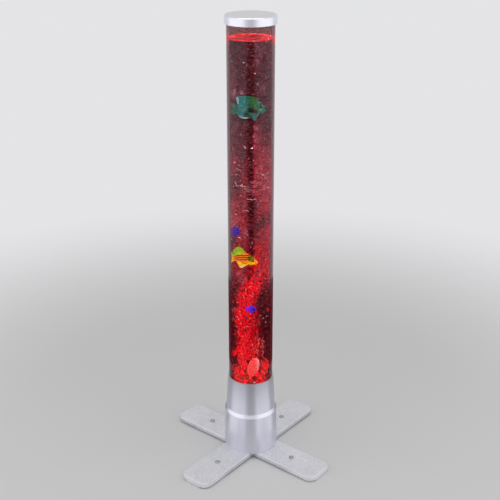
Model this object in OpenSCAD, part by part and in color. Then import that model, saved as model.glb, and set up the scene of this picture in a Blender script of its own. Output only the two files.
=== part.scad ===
// Bubble tube floor lamp: a water-filled acrylic tube on a round base with four arms.
// The origin is the centre of the footprint on the floor, +Z up, and the front is -Y.

/* [Tube] */
// Overall height of the lamp, floor to cap
lamp_h = 1015; // [1000:1:1060]
// Outer diameter of the acrylic tube
tube_d = 100; // [99:0.5:101]
// Wall of the acrylic tube
tube_wall = 3; // [2.5:0.25:3.5]
// Thickness of the clear floor glued into the tube
floor_t = 6; // [5:0.5:7]

/* [Cap] */
// Outer diameter of the cap
cap_d = 107.7; // [106:0.1:112]
// Height of the cap's side
cap_h = 17.5; // [14:0.5:30]
// Bevel round the cap's top edge
cap_bevel = 1.6; // [1:0.1:2.5]

/* [Base housing] */
// Diameter of the lower housing where it stands on the arms
lower_d = 123.5; // [122:0.5:126]
// Diameter of the lower housing under its shoulder
shoulder_d = 120.9; // [120:0.1:121.5]
// Height of the lower housing, arms to shoulder
lower_h = 92.2; // [91:0.2:94]
// Height of the sloping shoulder
shoulder_h = 8; // [7:0.5:9]
// Diameter of the tapered collar at its foot
collar_foot_d = 113.1; // [112:0.1:114]
// Diameter of the tapered collar at its rim
collar_rim_d = 104.9; // [104.5:0.1:106]
// Height of the tapered collar
collar_h = 80; // [78:1:84]
// Wall of the moulded housings
shell_t = 2.6; // [2.2:0.1:2.8]

/* [Arms] */
// Reach of an arm from the lamp's axis
arm_reach = 205.5; // [195:0.5:230]
// Width of an arm
arm_w = 75; // [72:1:80]
// Thickness of an arm
arm_t = 10; // [9.5:0.5:12]
// Radius of an arm's corners, seen from above
arm_corner_r = 18; // [15:1:22]
// Radius of the edge along an arm's top
arm_edge_r = 3; // [2:0.5:4]
// Height of the foot strip under an arm's end
strip_h = 4; // [3.5:0.5:5]
// Distance of the domed arm screw from the lamp's axis
arm_screw_at = 121; // [115:1:140]

/* [Air pump] */
// Length of the pump's case
pump_l = 92; // [91:1:94]
// Width of the pump's case
pump_w = 44; // [43:0.5:46]
// Outer diameter of the air hose
hose_d = 6; // [5.5:0.5:6.5]

/* [Floating pieces] */
// Height of the teal fish's middle at rest
teal_fish_z = 819; // [810:1:825]
// Height of the yellow fish's middle at rest
yellow_fish_z = 485; // [482:1:487]
// Height of the purple fish's middle at rest
purple_fish_z = 358; // [354:1:362]
// Height of the blue ball's middle at rest
blue_ball_z = 547; // [546:1:552]
// Height of the red ball's middle at rest
red_ball_z = 246; // [243:1:252]
// Height of the red bead's middle at rest
red_bead_z = 357; // [350:1:364]

/* [Stones] */
// Seed of the pebbles' uneven shapes
stone_seed = 7; // [1:1:99]

/* [Hidden] */
$fn = 96;
eps = 0.01;

silver = "#c4c6cc";
dark_rubber = "#26272a";
steel = "#9fa2a6";
board_green = "#1d5b3c";

// Heights of the main levels
arm_z = strip_h;
deck_z = arm_z + arm_t;
shoulder_z = deck_z + lower_h;
collar_z = shoulder_z + shoulder_h;
rim_z = collar_z + collar_h;
plate_t = 3;
plate_top = deck_z + plate_t;
shelf_t = 3;
shelf_z = rim_z - 46.5;
shelf_top = shelf_z + shelf_t;
gasket_t = 1.5;
tube_z = shelf_top + gasket_t;
floor_top = tube_z + floor_t;
cap_plate_t = 3;
cap_gap = 0.3;
tube_top = lamp_h - cap_plate_t - cap_gap;

// Radii
tube_r = tube_d / 2;
tube_in_r = tube_r - tube_wall;
socket_r = tube_r + 0.35;
shelf_hole_r = 43;
lower_r = lower_d / 2;
shoulder_r = shoulder_d / 2;
collar_foot_r = collar_foot_d / 2;
collar_rim_r = collar_rim_d / 2;
mouth_r = 54;
spigot_r = 53.7;
spigot_t = 2.5;
flange_z = shoulder_z - 6.2;
flange_t = 4.2;
boss_at = 47.5;
boss_r = 4.5;
lower_bar_drop = 0.4;
arm_turns = [45, 135, 225, 315];

// The fish and the stones face a little left of the lamp's front
face_turn = -6;

// Level of the button and the gland in the rear wall
button_z = 62;
button_r = 6;
gland_z = 27;
gland_bore_r = 2.6;
board_y = 35;
board_t = 1.6;

// Pump, with its outlet over the valve block
pump_z = plate_top + 5;
pump_wall = 2;
pump_case_h = 36;
pump_top = pump_z + pump_case_h;
pump_cover_t = 3;
pump_mid_z = pump_z + 18;
pivot_x = 32;
pin_r = 1.5;
outlet_y = -14;
barb_r = 2;
hose_in_r = barb_r + 0.05;
air_bore_r = 1.2;
nipple_top = pump_top + 14;
valve_low = nipple_top + 12;
valve_h = 16;
barb_h = 8;
bend_low = valve_low + valve_h + barb_h;
bend_high = bend_low + 20;
nozzle_low = bend_high + 1;
led_board_top = shelf_z - 3.5;
led_board_t = 1.6;

// Places that repeat
module at_arms(r) {
    for (turn = arm_turns) rotate([0, 0, turn]) translate([r, 0, 0]) children();
}

module ring(outer_r, inner_r, h) {
    difference() {
        cylinder(r = outer_r, h = h);
        translate([0, 0, -1]) cylinder(r = inner_r, h = h + 2);
    }
}

module block(x, y, z) {
    translate([x[0], y[0], z[0]]) cube([x[1] - x[0], y[1] - y[0], z[1] - z[0]]);
}

// ---- Arms and feet ----

module rounded_top(w, h, r) {
    square([w, h - r]);
    square([w - r, h]);
    translate([w - r, h - r]) circle(r = r);
}

module rounded_top_both(w, h, r) {
    rounded_top(w, h, r);
    mirror([1, 0]) rounded_top(w, h, r);
}

module arm_bar_blank(t) {
    straight = arm_reach - arm_corner_r;
    flank = arm_w / 2 - arm_corner_r;
    translate([-straight, 0, 0]) rotate([90, 0, 90])
        linear_extrude(2 * straight) rounded_top_both(arm_w / 2, t, arm_edge_r);
    translate([0, flank, 0]) rotate([90, 0, 0])
        linear_extrude(2 * flank) rounded_top_both(arm_reach, t, arm_edge_r);
    for (sx = [-1, 1], sy = [-1, 1]) translate([sx * straight, sy * flank, 0])
        rotate_extrude() rounded_top(arm_corner_r, t, arm_edge_r);
}

module foot_strips() {
    strip_d = 12;
    strip_w = arm_w - 2 * arm_corner_r;
    for (side = [-1, 1]) translate([side * (arm_reach - strip_d / 2) - strip_d / 2, -strip_w / 2, -strip_h])
        cube([strip_d, strip_w, strip_h + 1]);
}

module arm_bar(t, keep_top) {
    lap_w = arm_w + 0.2;
    translate([0, 0, arm_z]) difference() {
        union() {
            arm_bar_blank(t);
            foot_strips();
        }
        translate([-lap_w / 2, -arm_w, keep_top ? -arm_t / 2 : arm_t / 2]) cube([lap_w, 2 * arm_w, arm_t]);
        for (side = [-1, 1]) {
            translate([side * arm_screw_at, 0, -1]) cylinder(r = 2.6, h = arm_t + 2);
            translate([side * boss_at, 0, -1]) cylinder(r = 2.2, h = arm_t + 2);
            translate([side * boss_at, 0, -1]) cylinder(r = 4.6, h = 4.5);
        }
    }
}

module upper_arm_bar() {
    color(silver) rotate([0, 0, 45]) arm_bar(arm_t, true);
}

module lower_arm_bar() {
    color(silver) rotate([0, 0, -45]) arm_bar(arm_t - lower_bar_drop, false);
}

module arm_screws() {
    dome_r = 6.2;
    dome_h = 3.4;
    ball_r = (dome_r * dome_r + dome_h * dome_h) / (2 * dome_h);
    color(steel) at_arms(arm_screw_at) {
        translate([0, 0, deck_z]) intersection() {
            translate([0, 0, dome_h - ball_r]) sphere(r = ball_r);
            cylinder(r = dome_r, h = dome_h + 1);
        }
        translate([0, 0, 1.6]) cylinder(r = 2.45, h = deck_z - 1.6 + eps);
    }
}

module rubber_feet() {
    color(dark_rubber) at_arms(arm_screw_at) difference() {
        cylinder(r = 11, h = strip_h);
        translate([0, 0, 1.5]) cylinder(r = 2.5, h = strip_h);
    }
}

// ---- Base housing ----

module base_plate() {
    color("#3a3d42") difference() {
        union() {
            translate([0, 0, deck_z]) cylinder(r = lower_r - shell_t - 0.4, h = plate_t);
            for (x = [-24, 16]) block([x - 3, x + 3], [board_y - 2.5, board_y + 4.1], [plate_top - eps, 34]);
        }
        at_arms(boss_at) translate([0, 0, deck_z - 1]) cylinder(r = 2.2, h = plate_t + 2);
        block([-30, 30], [board_y - 0.1, board_y + board_t + 0.1], [24, 40]);
    }
}

module base_screws() {
    color(steel) at_arms(boss_at) {
        translate([0, 0, arm_z + 0.4]) cylinder(r = 4.2, h = 3);
        translate([0, 0, arm_z + 3]) cylinder(r = 1.9, h = 26);
    }
}

module lower_housing() {
    color(silver) difference() {
        union() {
            rotate_extrude() polygon([
                [lower_r - shell_t, deck_z],
                [lower_r, deck_z],
                [shoulder_r, shoulder_z],
                [collar_foot_r, collar_z],
                [mouth_r, collar_z],
                [mouth_r, collar_z - 3.6],
                [shoulder_r - shell_t, shoulder_z - 2.5]
            ]);
            at_arms(boss_at) translate([0, 0, plate_top]) {
                cylinder(r = boss_r, h = flange_z - plate_top);
                translate([2, -1.2, 0])
                    cube([lower_r - shell_t - boss_at - 1.6, 2.4, flange_z - plate_top - 2]);
            }
            translate([0, 53.2, button_z]) rotate([-90, 0, 0]) cylinder(r = button_r + 2.4, h = 6.5);
        }
        at_arms(boss_at) {
            translate([0, 0, plate_top - 1]) cylinder(r = 1.95, h = 17);
            translate([0, 0, flange_z - 16]) cylinder(r = 1.6, h = 17);
        }
        translate([0, 50, button_z]) rotate([-90, 0, 0]) cylinder(r = button_r + 0.25, h = 20);
        translate([0, 50, gland_z]) rotate([-90, 0, 0]) cylinder(r = 6, h = 20);
    }
}

module upper_housing() {
    slope = (collar_foot_r - collar_rim_r) / collar_h;
    shelf_in_r = collar_foot_r - slope * (shelf_z - collar_z) - shell_t;
    foot_in_r = collar_foot_r - slope * 4.3 - shell_t;
    color(silver) difference() {
        union() {
            rotate_extrude() polygon([
                [shelf_hole_r, flange_z],
                [spigot_r, flange_z],
                [spigot_r, collar_z],
                [collar_foot_r, collar_z],
                [collar_rim_r, rim_z],
                [socket_r, rim_z],
                [socket_r, shelf_top],
                [shelf_hole_r, shelf_top],
                [shelf_hole_r, shelf_z],
                [shelf_in_r, shelf_z],
                [foot_in_r, collar_z + 4.3],
                [spigot_r - spigot_t, collar_z],
                [spigot_r - spigot_t, flange_z + flange_t],
                [shelf_hole_r, flange_z + flange_t]
            ]);
            for (turn = [0, 120, 240]) rotate([0, 0, turn]) translate([47, 0, led_board_top])
                cylinder(r = 3, h = shelf_z - led_board_top + eps);
        }
        at_arms(boss_at) translate([0, 0, flange_z - 1]) cylinder(r = 1.9, h = flange_t + 2);
        for (turn = [0, 120, 240]) rotate([0, 0, turn]) translate([47, 0, led_board_top - 1])
            cylinder(r = 1.25, h = 6);
    }
}

module collar_screws() {
    color(steel) at_arms(boss_at) translate([0, 0, flange_z + flange_t]) {
        cylinder(r = 3.2, h = 2.2);
        translate([0, 0, -14]) cylinder(r = 1.5, h = 14 + eps);
    }
}

// ---- Tube, cap and nozzle ----

module tube_gasket() {
    color(dark_rubber) translate([0, 0, shelf_top]) ring(tube_r, shelf_hole_r + 0.5, gasket_t);
}

module acrylic_tube() {
    color("#c85a62", 0.35) translate([0, 0, tube_z]) ring(tube_r, tube_in_r, tube_top - tube_z);
}

module tube_floor() {
    color("#d8e4ea", 0.5) translate([0, 0, tube_z]) ring(tube_in_r - 0.03, 4.1, floor_t);
}

module tube_cap() {
    cap_r = cap_d / 2;
    color(silver) rotate_extrude() polygon([
        [0, lamp_h - cap_plate_t],
        [socket_r, lamp_h - cap_plate_t],
        [socket_r, lamp_h - cap_h],
        [cap_r - 0.5, lamp_h - cap_h],
        [cap_r, lamp_h - cap_h + 0.5],
        [cap_r, lamp_h - cap_bevel],
        [cap_r - cap_bevel, lamp_h],
        [0, lamp_h]
    ]);
}

module air_nozzle() {
    color("#e8e8e4") difference() {
        union() {
            translate([0, 0, floor_top]) cylinder(r = 8, h = 2.5);
            translate([0, 0, tube_z - 8]) cylinder(r = 4, h = floor_t + 8 + eps);
            translate([0, 0, nozzle_low]) cylinder(r = barb_r, h = tube_z - nozzle_low - 8 + eps);
        }
        translate([0, 0, nozzle_low - 1]) cylinder(r = air_bore_r, h = floor_top - nozzle_low + 5);
    }
}

module nozzle_washer() {
    color(dark_rubber) translate([0, 0, tube_z - 1.8]) ring(9, 4.1, 1.8);
}

module nozzle_nut() {
    color("#e8e8e4") translate([0, 0, tube_z - 5.8]) difference() {
        cylinder(d = 14, h = 4, $fn = 6);
        translate([0, 0, -1]) cylinder(r = 4.05, h = 6);
    }
}

module bubble_head() {
    color("#e8e8e4") translate([0, 0, floor_top + 2.5]) difference() {
        cylinder(r = 8, h = 4.5);
        translate([0, 0, -1]) cylinder(r = 6.5, h = 4);
        cylinder(r = 0.6, h = 6);
        for (turn = [0:60:300]) rotate([0, 0, turn]) translate([4, 0, 0]) cylinder(r = 0.6, h = 6);
    }
}

// ---- Stones ----

// Radius of a pebble's corner, a little uneven, never past 1
function bumps(seed) = rands(0.84, 1, 24, seed);

function pebble_points(size, rough) = concat(
    [[0, 0, -size[2] * rough[0]]],
    [for (band = [-1:1], k = [0:6])
        let (tilt = band * 45, turn = k * 360 / 7 + band * 17, far = rough[1 + (band + 1) * 7 + k])
        [size[0] * far * cos(tilt) * cos(turn), size[1] * far * cos(tilt) * sin(turn),
            size[2] * far * sin(tilt)]],
    [[0, 0, size[2] * rough[22]]]
);

function pebble_faces() = concat(
    [for (k = [0:6]) [0, 1 + k, 1 + (k + 1) % 7]],
    [for (band = [0:1], k = [0:6]) [1 + band * 7 + k, 8 + band * 7 + k, 8 + band * 7 + (k + 1) % 7]],
    [for (band = [0:1], k = [0:6])
        [1 + band * 7 + k, 8 + band * 7 + (k + 1) % 7, 1 + band * 7 + (k + 1) % 7]],
    [for (k = [0:6]) [22, 15 + (k + 1) % 7, 15 + k]]
);

module pebble(size, seed) {
    polyhedron(points = pebble_points(size, bumps(seed)), faces = pebble_faces());
}

module pebble_ring(count, at_r, z, size, turn, seed) {
    for (k = [0:count - 1]) rotate([0, 0, turn + k * 360 / count]) translate([at_r, 0, z])
        rotate([0, 0, 40 * k]) pebble(size, seed + k);
}

bed_z = floor_top + 0.3;

module gravel() {
    color("#b8373c") {
        pebble_ring(9, 35.5, bed_z + 10.2, [11.2, 11.2, 10], 0, stone_seed);
        pebble_ring(6, 17, bed_z + 7.2, [7.2, 7.2, 7], 30, stone_seed + 20);
        pebble_ring(9, 35.5, bed_z + 30, [11, 11, 9.6], 20, stone_seed + 40);
        pebble_ring(5, 15, bed_z + 27, [8.6, 8.6, 9], 10, stone_seed + 60);
    }
}

// Top layer: place across, place back, half length, half depth, half height
top_layer = [
    [-23, -25, 11, 10, 8], [-35, 0, 10, 12, 8.5], [-13, 1, 9.5, 11, 12], [8, 3, 8, 9, 9],
    [-20, 29, 12, 10, 9], [9, 32, 13, 10, 10], [30, 20, 9, 8.5, 11], [28, -27, 6, 6, 8]
];
top_bed_z = bed_z + 40.5;

module top_stones() {
    color("#c23a40") rotate([0, 0, face_turn]) for (k = [0:len(top_layer) - 1]) {
        stone = top_layer[k];
        translate([stone[0], stone[1], top_bed_z + stone[4]])
            pebble([stone[2], stone[3], stone[4]], stone_seed + 80 + k);
    }
}

module pale_stone() {
    color("#f0a09c") rotate([0, 0, face_turn]) translate([6, -26, top_bed_z + 26])
        rotate([0, 20, 0]) pebble([12.5, 9, 24], stone_seed + 90);
}

module red_stone() {
    color("#c01820") rotate([0, 0, face_turn]) translate([31, -4, top_bed_z + 18])
        pebble([13, 11, 17.5], stone_seed + 91);
}

// ---- Light and control ----

module led_board() {
    color(board_green) translate([0, 0, led_board_top - led_board_t]) difference() {
        cylinder(r = 50, h = led_board_t);
        translate([0, 0, -1]) cylinder(r = 12, h = led_board_t + 2);
        for (turn = [0, 120, 240]) rotate([0, 0, turn]) translate([47, 0, -1])
            cylinder(r = 1.4, h = led_board_t + 2);
    }
}

module leds() {
    color("#ff5a4a") for (turn = [0:30:330]) rotate([0, 0, turn]) translate([27.5, -2.5, led_board_top])
        cube([5, 5, 1.6]);
}

module led_board_screws() {
    color(steel) for (turn = [0, 120, 240]) rotate([0, 0, turn])
        translate([47, 0, led_board_top - led_board_t]) {
        translate([0, 0, -1.4]) cylinder(r = 2.2, h = 1.4);
        translate([0, 0, -eps]) cylinder(r = 1.2, h = 5);
    }
}

module led_lead() {
    color("#202225") translate([12, board_y - 2.5, 82])
        cylinder(r = 1.5, h = led_board_top - led_board_t - 82);
}

module control_board() {
    color(board_green) block([-28.4, 22], [board_y, board_y + board_t], [24, 88]);
}

module board_parts() {
    color("#33363a") {
        block([8, 16], [board_y - 5, board_y], [76, 82]);
        block([lead_x - 2.4, lead_x + 3.6], [board_y - 5, board_y], [lead_z - 3, lead_z + 3]);
        block([4, 14], [board_y - 1.8, board_y], [44, 54]);
        for (x = [-14, -4]) translate([x, board_y, 74]) rotate([90, 0, 0]) cylinder(r = 4, h = 9);
        block([-20, -8], [board_y - 6, board_y], [30, 40]);
    }
}

module mode_switch() {
    color("#202225") difference() {
        block([-6, 6], [board_y + board_t, board_y + 6.6], [button_z - 6, button_z + 6]);
        translate([0, board_y + 3, button_z]) rotate([-90, 0, 0]) cylinder(r = 2.15, h = 10);
    }
}

module switch_plunger() {
    color("#e8e8e4") translate([0, board_y + 4.8, button_z]) rotate([-90, 0, 0]) cylinder(r = 2, h = 6.7);
}

module mode_button() {
    color("#8a8d92") along_button() {
        cylinder(r = 2.2, h = 5);
        translate([0, 0, 4.9]) cylinder(r = 7.4, h = 1.5);
        translate([0, 0, 4.9]) cylinder(r = button_r, h = 10.8);
        translate([0, 0, 15.7 - eps]) cylinder(r1 = button_r, r2 = button_r - 1, h = 1);
    }
}

module along_button() {
    translate([0, board_y + 11.5, button_z]) rotate([-90, 0, 0]) children();
}

module cable_gland() {
    color(dark_rubber) translate([0, 50.4, gland_z]) rotate([-90, 0, 0]) difference() {
        union() {
            cylinder(r = 4.5, h = 6.1);
            translate([0, 0, 6]) cylinder(r = 7.6, h = 2);
            translate([0, 0, 7.9]) cylinder(r = 5.95, h = 4);
            translate([0, 0, 11.3]) cylinder(r = 8, h = 1.9);
        }
        translate([0, 0, -1]) cylinder(r = gland_bore_r, h = 16);
    }
}

// ---- Air pump ----

half_l = pump_l / 2;
half_w = pump_w / 2;
lead_x = -25.9;
lead_z = pump_mid_z + 10.5;

module pump_case() {
    color("#5b6068") difference() {
        union() {
            difference() {
                block([-half_l, half_l], [-half_w, half_w], [pump_z, pump_top]);
                block([pump_wall - half_l, half_l - pump_wall], [pump_wall - half_w, half_w - pump_wall],
                    [pump_z + pump_wall, pump_top + 1]);
            }
            block([-43, -38], [-17, 17], [pump_z + pump_wall - eps, pump_mid_z - 8]);
            translate([pivot_x, 0, pump_z + pump_wall - eps]) cylinder(r = 4, h = 8);
        }
        translate([pivot_x, 0, pump_z + pump_wall + 1]) cylinder(r = pin_r + 0.02, h = 10);
        translate([lead_x, 0, lead_z]) rotate([-90, 0, 0]) cylinder(r = 1.8, h = half_w + 1);
        translate([half_l - 5, 8, pump_mid_z]) rotate([0, 90, 0]) cylinder(r = 2, h = 6);
    }
}

module pump_cover() {
    color("#5b6068") difference() {
        union() {
            block([-half_l, half_l], [-half_w, half_w], [pump_top, pump_top + pump_cover_t]);
            translate([pivot_x, 0, pump_top - 7]) cylinder(r = 4, h = 7 + eps);
        }
        translate([pivot_x, 0, pump_top - 8]) cylinder(r = pin_r + 0.02, h = 9);
        translate([0, outlet_y, pump_top - 1]) cylinder(r = barb_r + 0.3, h = pump_cover_t + 2);
    }
}

module pump_feet() {
    color(dark_rubber) for (x = [-34, 34], y = [-13, 13]) translate([x, y, plate_top])
        cylinder(r = 5, h = pump_z - plate_top);
}

module pump_core() {
    color("#4a4c50") translate([0, 0, pump_mid_z - 8]) linear_extrude(16) polygon([
        [-43, -18], [-22, -18], [-22, -13], [-37, -13], [-37, -5], [-22, -5],
        [-22, 5], [-37, 5], [-37, 13], [-22, 13], [-22, 18], [-43, 18]
    ]);
}

module pump_bobbin() {
    color("#e8e4d8") difference() {
        union() {
            block([-36.5, -23], [-6.15, 6.15], [pump_mid_z - 9.15, pump_mid_z + 9.15]);
            for (x = [-36.5, -24.2]) block([x, x + 1.2], [-12.5, 12.5], [pump_mid_z - 14, pump_mid_z + 14]);
        }
        block([-40, -20], [-5.15, 5.15], [pump_mid_z - 8.15, pump_mid_z + 8.15]);
    }
}

module pump_winding() {
    color("#b5622c") difference() {
        block([-35.3, -24.2], [-11.8, 11.8], [pump_mid_z - 13.3, pump_mid_z + 13.3]);
        block([-40, -20], [-6.2, 6.2], [pump_mid_z - 9.2, pump_mid_z + 9.2]);
    }
}

module pump_lead() {
    color("#202225") translate([lead_x, 11.8, lead_z]) rotate([-90, 0, 0])
        cylinder(r = 1.5, h = board_y - 5 - 11.8);
}

module pump_pivot_pin() {
    color(steel) translate([pivot_x, 0, pump_z + 3.2]) cylinder(r = pin_r, h = pump_top - pump_z - 3.4);
}

module pump_arm() {
    color(steel) difference() {
        union() {
            block([-14.5, pivot_x - 2], [-2.5, 2.5], [pump_mid_z - 6, pump_mid_z + 6]);
            translate([pivot_x, 0, pump_mid_z - 6]) cylinder(r = 5, h = 12);
        }
        translate([pivot_x, 0, pump_mid_z - 7]) cylinder(r = pin_r + 0.05, h = 14);
    }
}

module pump_magnet() {
    color("#2c2c30") block([-20.5, -14.5], [-8, 8], [pump_mid_z - 7, pump_mid_z + 7]);
}

module pump_diaphragm() {
    color(dark_rubber) translate([0, -2.5, pump_mid_z]) rotate([90, 0, 0]) {
        cylinder(r = 3, h = 3.6);
        translate([0, 0, 3.5]) cylinder(r = 10, h = 1.5);
    }
}

module valve_block() {
    color("#e8e8e4") difference() {
        union() {
            block([-11, 11], [pump_wall - half_w, -8.4], [pump_mid_z - 12, pump_mid_z + 12]);
            translate([0, outlet_y, pump_mid_z + 11]) cylinder(r = barb_r, h = nipple_top - pump_mid_z - 11);
        }
        translate([0, outlet_y, pump_mid_z]) cylinder(r = air_bore_r, h = nipple_top);
        translate([0, outlet_y + 1, pump_mid_z]) rotate([-90, 0, 0]) cylinder(r = 5, h = 8);
    }
}

// ---- Air line ----

module hose_run(h) {
    ring(hose_d / 2, hose_in_r, h);
}

// The hose's route upwards: place across, height and lean, through two like bends
bend_steps = 6;

function hose_route(low, high) =
    let (rise = bend_high - bend_low, sweep = 2 * atan(-outlet_y / rise), bend_r = rise / (2 * sin(sweep)))
    concat(
        [[outlet_y, low, 0]],
        [for (k = [0:bend_steps]) let (lean = sweep * k / bend_steps)
            [outlet_y + bend_r * (1 - cos(lean)), bend_low + bend_r * sin(lean), lean]],
        [for (k = [bend_steps - 1:-1:0]) let (lean = sweep * k / bend_steps)
            [-bend_r * (1 - cos(lean)), bend_high - bend_r * sin(lean), lean]],
        [[0, high, 0]]
    );

hose_sides = 12;

function hose_ring(stop, r) = [for (k = [0:hose_sides - 1]) let (turn = k * 360 / hose_sides)
    [r * cos(turn), stop[0] + r * sin(turn) * cos(stop[2]), stop[1] - r * sin(turn) * sin(stop[2])]];

// Joins ring a to ring b with triangles, k steps round
function band(a, b) = [for (k = [0:hose_sides - 1], half = [0, 1]) let (next = (k + 1) % hose_sides)
    half == 0 ? [a + k, b + k, b + next] : [a + k, b + next, a + next]];

module swept_hose(route, outer_r, inner_r) {
    last = len(route) - 1;
    inner = (last + 1) * hose_sides;
    points = concat(
        [for (stop = route) each hose_ring(stop, outer_r)],
        [for (stop = route) each hose_ring(stop, inner_r)]
    );
    faces = concat(
        [for (i = [0:last - 1]) each band(i * hose_sides, (i + 1) * hose_sides)],
        [for (i = [0:last - 1]) each band(inner + (i + 1) * hose_sides, inner + i * hose_sides)],
        band(inner, 0),
        band(last * hose_sides, inner + last * hose_sides)
    );
    polyhedron(points = points, faces = faces);
}

module lower_air_hose() {
    color("#dfe6ea", 0.6) translate([0, outlet_y, pump_top + pump_cover_t + 0.5])
        hose_run(valve_low - 0.3 - (pump_top + pump_cover_t + 0.5));
}

module check_valve() {
    color("#e8e8e4") translate([0, outlet_y, valve_low]) difference() {
        union() {
            cylinder(r = 7, h = valve_h);
            translate([0, 0, -barb_h]) cylinder(r = barb_r, h = 2 * barb_h + valve_h);
        }
        translate([0, 0, -barb_h - 1]) cylinder(r = air_bore_r, h = 2 * barb_h + valve_h + 2);
        translate([0, 0, 2]) cylinder(r = 5, h = valve_h - 4);
    }
}

module upper_air_hose() {
    bore_r = hose_in_r / cos(180 / hose_sides);
    color("#dfe6ea", 0.6)
        swept_hose(hose_route(valve_low + valve_h + 0.3, tube_z - 9), hose_d / 2, bore_r);
}

// ---- Floating pieces ----

ring_points = 14;

// Rings along a body: place along it, lowest, highest and half width
function body_points(rows) = [for (row = rows, k = [0:ring_points - 1])
    let (turn = k * 360 / ring_points)
    [row[0], row[3] * cos(turn), (row[1] + row[2]) / 2 + (row[2] - row[1]) / 2 * sin(turn)]];

function body_faces(count) = concat(
    [[for (k = [0:ring_points - 1]) k]],
    [for (i = [0:count - 2], k = [0:ring_points - 1])
        [i * ring_points + k, (i + 1) * ring_points + k, (i + 1) * ring_points + (k + 1) % ring_points]],
    [for (i = [0:count - 2], k = [0:ring_points - 1])
        [i * ring_points + k, (i + 1) * ring_points + (k + 1) % ring_points,
            i * ring_points + (k + 1) % ring_points]],
    [[for (k = [ring_points - 1:-1:0]) (count - 1) * ring_points + k]]
);

module fish_body(rows) {
    polyhedron(points = body_points(rows), faces = body_faces(len(rows)));
}

module fin(outline, t) {
    rotate([90, 0, 0]) translate([0, 0, -t / 2]) linear_extrude(t) polygon(outline);
}

module teal_fish() {
    color("#1f7d72") rotate([0, 0, face_turn]) translate([0, 0, teal_fish_z]) {
        fish_body([
            [-27.5, -3, 7, 1.2], [-24, -7, 13, 2.6], [-17, -11.5, 19, 4.6], [-8, -14, 23, 6.4],
            [3, -14.5, 24, 7], [13, -13, 21.5, 6.4], [21, -10, 16, 5], [26.5, -7, 8.5, 3.2],
            [29.5, -5, 3.2, 2], [33.5, -4, 0.6, 1.2], [37, -2.8, -0.8, 0.6]
        ]);
        fin([[-21, 5.5], [-34, 13.5], [-44, 16.5], [-40.5, 6], [-39.5, -1], [-43, -7.5], [-36, -12],
            [-30, -8], [-21, -0.5]], 1.3);
        fin([[-22, 12], [-27.5, 11.5], [-31.5, 27], [-20, 29.5], [-8, 29.8], [4, 28.5], [15, 24.5],
            [16, 18], [-4, 20]], 1.6);
        fin([[-22, -6], [-29.5, -7.5], [-24, -15.5], [-14, -19], [-5, -19], [0, -12], [-12, -10]], 1.6);
        fin([[0, -12], [3, -18.5], [8.5, -24], [12.5, -19], [16, -11]], 1.6);
    }
}

module yellow_fish() {
    color("#e09018") rotate([0, 0, face_turn]) translate([0, 0, yellow_fish_z]) {
        fish_body([
            [-38, -6, 7.5, 1.2], [-33, -8.5, 10.5, 3], [-26, -12, 13.5, 5], [-17, -15.5, 13, 6.6],
            [-7, -17.5, 9.5, 7], [2, -18, 4.5, 6.4], [9, -17, -2, 5], [13.5, -15.5, -7.5, 3],
            [15.5, -13.5, -10.5, 1]
        ]);
        fin([[-31, 4], [-40, 12], [-45, 15], [-44, 5], [-43.5, -3], [-45, -13], [-40, -11], [-31, -4]], 1.3);
        fin([[-31, 6.5], [-40.5, 15.5], [-35, 22.5], [-28.5, 26.5], [-21, 24.5], [-14, 17], [-9, 8.5],
            [-20, 8]], 1.6);
        fin([[-31, -9], [-27, -19], [-22, -26.5], [-13, -21.5], [-5, -16.5], [-16, -12]], 1.6);
    }
}

module purple_fish() {
    color("#5a2ab8") rotate([0, 0, face_turn]) translate([0, 0, purple_fish_z]) {
        fish_body([
            [-6.5, -2, 2.5, 0.8], [-4, -4, 4.5, 2], [1, -6, 6.5, 3.2], [6, -6, 6.5, 3.4],
            [10.5, -4, 4.5, 2.4], [13.5, -1.2, 1.6, 0.8]
        ]);
        fin([[-5.5, 2], [-10, 7], [-13.5, 9.5], [-12, 2.5], [-12.5, -4], [-9.5, -5.5], [-5.5, -2]], 1.2);
        fin([[-4, 3], [-4, 8.5], [2, 10.3], [7.5, 5]], 1.2);
        fin([[-3, -3], [-2, -9], [3, -10.6], [7, -5]], 1.2);
    }
}

module float_ball(x, z, r) {
    rotate([0, 0, face_turn]) translate([x, 0, z]) sphere(r = r);
}

module blue_ball() {
    color("#2a1a9a") float_ball(-34, blue_ball_z, 11.5);
}

module red_ball() {
    color("#d01820") float_ball(-38.5, red_ball_z, 7);
}

module red_bead() {
    color("#d01820") float_ball(38, red_bead_z, 4.5);
}

upper_arm_bar();
lower_arm_bar();
arm_screws();
rubber_feet();
base_plate();
base_screws();
lower_housing();
upper_housing();
collar_screws();
tube_gasket();
acrylic_tube();
tube_floor();
air_nozzle();
nozzle_washer();
nozzle_nut();
bubble_head();
gravel();
top_stones();
pale_stone();
red_stone();
led_board();
leds();
led_board_screws();
led_lead();
control_board();
board_parts();
mode_switch();
switch_plunger();
mode_button();
cable_gland();
pump_case();
pump_cover();
pump_feet();
pump_core();
pump_bobbin();
pump_winding();
pump_lead();
pump_pivot_pin();
pump_arm();
pump_magnet();
pump_diaphragm();
valve_block();
lower_air_hose();
check_valve();
upper_air_hose();
tube_cap();
teal_fish();
yellow_fish();
purple_fish();
blue_ball();
red_ball();
red_bead();
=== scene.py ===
import math
import random

import bpy
from mathutils import Matrix, Vector


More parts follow.
